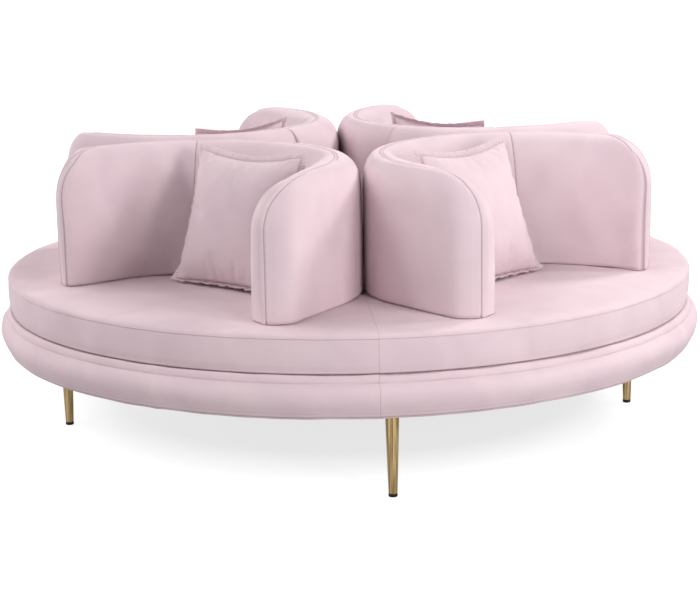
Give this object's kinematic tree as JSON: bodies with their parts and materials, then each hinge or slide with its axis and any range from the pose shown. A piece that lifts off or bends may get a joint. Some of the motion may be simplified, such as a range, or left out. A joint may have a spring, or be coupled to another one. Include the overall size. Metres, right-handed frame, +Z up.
{
  "type": "round sofa",
  "caption": "Round island sofa with tub backs that face outwards from the centre, loose pillows, a two-tier padded seat and tapered metal legs.",
  "frame": {"origin": "on the floor under the centre of the round seat", "axes": "+Z up; the four tub seats face -Y, +X, +Y and -X, and the seams between them lie on the diagonals"},
  "size_m": [2.055, 2.055, 0.8496],
  "materials": {
    "velvet": "short-pile velvet, soft sheen",
    "timber": "plain plywood and pine, unfinished",
    "brushed_brass": "brushed, satin",
    "black_plastic": "matt",
    "zinc_steel": "zinc plated",
    "black_lining": "non-woven dust cloth"
  },
  "bodies": {
    "sofa": {"back_frame_1": "timber", "back_frame_2": "timber", "back_frame_3": "timber", "back_frame_4": "timber", "back_pad_1": "velvet", "back_pad_2": "velvet", "back_pad_3": "velvet", "back_pad_4": "velvet", "back_shell_1": "velvet", "back_shell_2": "velvet", "back_shell_3": "velvet", "back_shell_4": "velvet", "base_box_1": "timber", "base_box_2": "timber", "base_box_3": "timber", "base_box_4": "timber", "base_cover_1": "velvet", "base_cover_2": "velvet", "base_cover_3": "velvet", "base_cover_4": "velvet", "cross_beam_lower": "timber", "cross_beam_upper": "timber", "dust_cover": "black_lining", "foot_tip_1": "black_plastic", "foot_tip_2": "black_plastic", "foot_tip_3": "black_plastic", "foot_tip_4": "black_plastic", "leg_1": "brushed_brass", "leg_2": "brushed_brass", "leg_3": "brushed_brass", "leg_4": "brushed_brass", "leg_plate_1": "zinc_steel", "leg_plate_2": "zinc_steel", "leg_plate_3": "zinc_steel", "leg_plate_4": "zinc_steel", "leg_stud_1": "zinc_steel", "leg_stud_2": "zinc_steel", "leg_stud_3": "zinc_steel", "leg_stud_4": "zinc_steel", "seat_board_1": "timber", "seat_board_2": "timber", "seat_board_3": "timber", "seat_board_4": "timber", "seat_cushion_1": "velvet", "seat_cushion_2": "velvet", "seat_cushion_3": "velvet", "seat_cushion_4": "velvet"},
    "pillow_1_body": {"pillow_1": "velvet"},
    "pillow_2_body": {"pillow_2": "velvet"},
    "pillow_3_body": {"pillow_3": "velvet"},
    "pillow_4_body": {"pillow_4": "velvet"}
  },
  "joints": [
    {"name": "pillow_1_lift", "type": "slide", "parent": "sofa", "child": "pillow_1_body", "axis": [0, 0, 1], "range_m": [0, 0.35]},
    {"name": "pillow_2_lift", "type": "slide", "parent": "sofa", "child": "pillow_2_body", "axis": [0, 0, 1], "range_m": [0, 0.35]},
    {"name": "pillow_3_lift", "type": "slide", "parent": "sofa", "child": "pillow_3_body", "axis": [0, 0, 1], "range_m": [0, 0.35]},
    {"name": "pillow_4_lift", "type": "slide", "parent": "sofa", "child": "pillow_4_body", "axis": [0, 0, 1], "range_m": [0, 0.35]}
  ]
}
